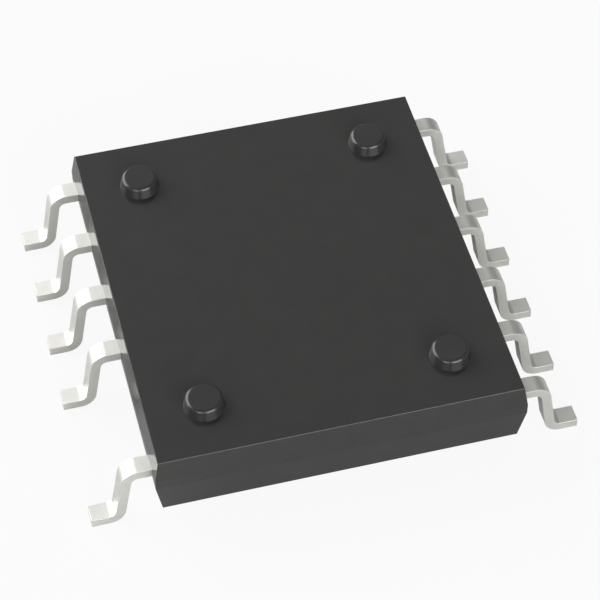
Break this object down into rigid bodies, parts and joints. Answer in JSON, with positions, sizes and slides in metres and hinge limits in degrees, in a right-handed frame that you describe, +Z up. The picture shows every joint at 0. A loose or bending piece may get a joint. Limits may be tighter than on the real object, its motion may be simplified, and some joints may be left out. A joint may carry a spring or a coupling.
{
  "type": "integrated circuit",
  "caption": "Flat black moulded package with gull-wing leads along opposite sides, a lead place left empty, and round bumps on its top face.",
  "frame": {"origin": "middle of the footprint, on the plane of the board under the feet", "axes": "+X across the lead rows, from the row with the empty place to the full row; +Y along the rows towards lead 1; +Z up, away from the board"},
  "size_m": [0.012, 0.01, 0.0026],
  "materials": {
    "mold_compound": "fine satin moulded epoxy",
    "tinned_copper": "matte tin plate on copper",
    "silicon": "polished silicon",
    "silver_adhesive": "dull silver-filled adhesive",
    "bond_wire": "bright drawn wire"
  },
  "bodies": {
    "root": {"mold_body": "mold_compound", "lead_frame": "tinned_copper", "lead_1": "tinned_copper", "lead_2": "tinned_copper", "lead_3": "tinned_copper", "lead_4": "tinned_copper", "lead_6": "tinned_copper", "die": "silicon", "die_attach": "silver_adhesive", "signal_wire_1": "bond_wire", "signal_wire_2": "bond_wire", "signal_wire_3": "bond_wire", "signal_wire_4": "bond_wire", "drain_wire_1": "bond_wire", "drain_wire_2": "bond_wire", "drain_wire_3": "bond_wire", "source_wire_1": "bond_wire", "source_wire_2": "bond_wire", "source_wire_3": "bond_wire", "source_wire_4": "bond_wire"}
  },
  "joints": []
}
